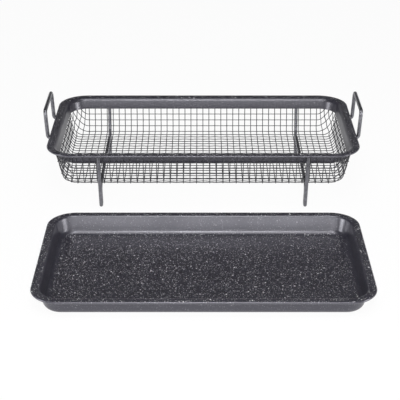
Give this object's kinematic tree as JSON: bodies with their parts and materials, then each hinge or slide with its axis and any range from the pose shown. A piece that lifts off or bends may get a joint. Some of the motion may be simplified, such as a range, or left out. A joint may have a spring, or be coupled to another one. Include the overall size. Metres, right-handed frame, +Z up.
{
  "type": "sheet pan with wire basket rack",
  "caption": "Rimmed speckled non-stick sheet pan with a wire mesh crisping basket on hairpin legs, with upright wire end handles, standing behind it.",
  "frame": {"origin": "middle of the pan's flat underside, on the surface that both pieces stand on", "axes": "+X along the length of both pieces, +Y from the pan towards the basket behind it, +Z up"},
  "size_m": [0.4146, 0.4818, 0.116],
  "materials": {
    "speckled_coating": "satin dark grey non-stick coating with fine pale specks on sheet steel",
    "cloth_coating": "satin dark grey coating on woven steel wire",
    "wire_coating": "satin mid grey coating on bent steel wire"
  },
  "bodies": {
    "pan": {"baking_pan": "speckled_coating"},
    "basket": {"basket_rim": "speckled_coating", "left_leg_wire": "wire_coating", "right_leg_wire": "wire_coating", "left_handle": "wire_coating", "right_handle": "wire_coating", "cross_wire_1": "cloth_coating", "cross_wire_2": "cloth_coating", "cross_wire_3": "cloth_coating", "cross_wire_4": "cloth_coating", "cross_wire_5": "cloth_coating", "cross_wire_6": "cloth_coating", "cross_wire_7": "cloth_coating", "cross_wire_8": "cloth_coating", "cross_wire_9": "cloth_coating", "cross_wire_10": "cloth_coating", "cross_wire_11": "cloth_coating", "cross_wire_12": "cloth_coating", "cross_wire_13": "cloth_coating", "cross_wire_14": "cloth_coating", "cross_wire_15": "cloth_coating", "cross_wire_16": "cloth_coating", "cross_wire_17": "cloth_coating", "cross_wire_18": "cloth_coating", "cross_wire_19": "cloth_coating", "cross_wire_20": "cloth_coating", "cross_wire_21": "cloth_coating", "cross_wire_22": "cloth_coating", "cross_wire_23": "cloth_coating", "cross_wire_24": "cloth_coating", "cross_wire_25": "cloth_coating", "cross_wire_26": "cloth_coating", "cross_wire_27": "cloth_coating", "cross_wire_28": "cloth_coating", "cross_wire_29": "cloth_coating", "cross_wire_30": "cloth_coating", "cross_wire_31": "cloth_coating", "cross_wire_32": "cloth_coating", "cross_wire_33": "cloth_coating", "long_wire_1": "cloth_coating", "long_wire_2": "cloth_coating", "long_wire_3": "cloth_coating", "long_wire_4": "cloth_coating", "long_wire_5": "cloth_coating", "long_wire_6": "cloth_coating", "long_wire_7": "cloth_coating", "long_wire_8": "cloth_coating", "long_wire_9": "cloth_coating", "long_wire_10": "cloth_coating", "long_wire_11": "cloth_coating", "long_wire_12": "cloth_coating", "long_wire_13": "cloth_coating", "long_wire_14": "cloth_coating", "long_wire_15": "cloth_coating", "long_wire_16": "cloth_coating", "long_wire_17": "cloth_coating", "long_wire_18": "cloth_coating", "long_wire_19": "cloth_coating", "long_wire_20": "cloth_coating"}
  },
  "joints": [
    {"name": "basket_lift", "type": "slide", "parent": "pan", "child": "basket", "axis": [0, 0, 1], "range_m": [0, 0.15]}
  ]
}
